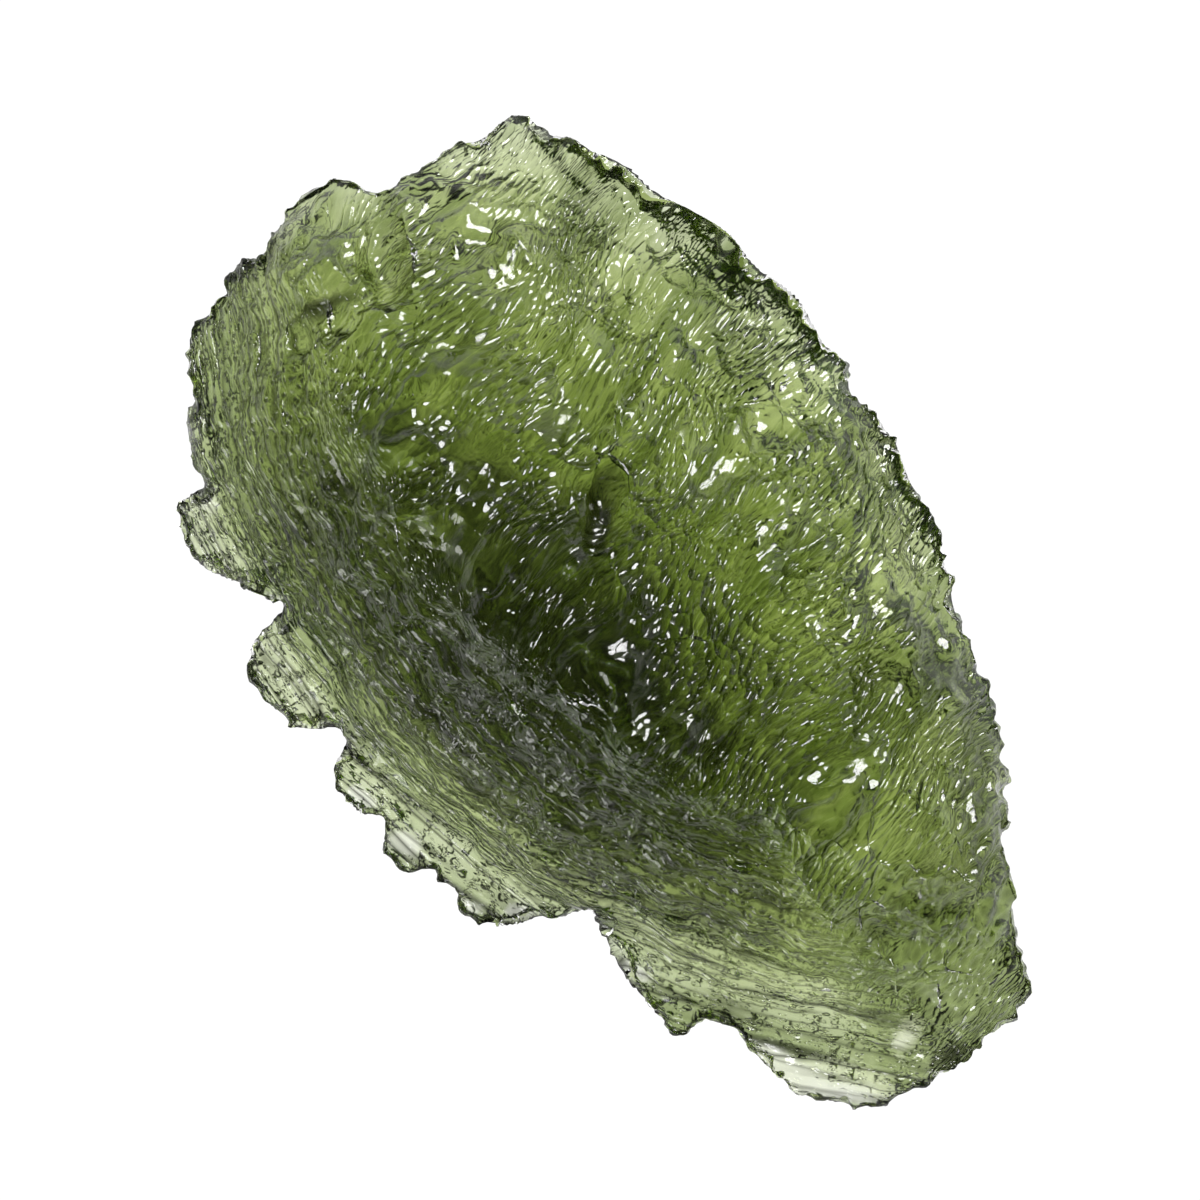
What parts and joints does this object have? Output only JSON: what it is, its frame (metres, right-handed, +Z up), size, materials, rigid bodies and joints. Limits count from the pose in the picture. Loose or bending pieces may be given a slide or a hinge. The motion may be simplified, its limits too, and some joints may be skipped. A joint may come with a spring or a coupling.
{
  "type": "moldavite",
  "caption": "Loose piece of natural green tektite glass: a flattened splash form with an etched, pitted face, a steep folded flank and a thin scalloped rim.",
  "frame": {"origin": "on the surface that the stone lies on, under the middle of its box", "axes": "+Z up, out of the etched face; +Y along the stone's long side, towards the narrow crown; +X towards the blunt edge"},
  "size_m": [0.0292, 0.034, 0.0096],
  "materials": {
    "green_glass": "clear bottle-green to olive natural glass, glossy in the etch pits, pale where thin and nearly black where thick"
  },
  "bodies": {
    "root": {"moldavite": "green_glass"}
  },
  "joints": []
}
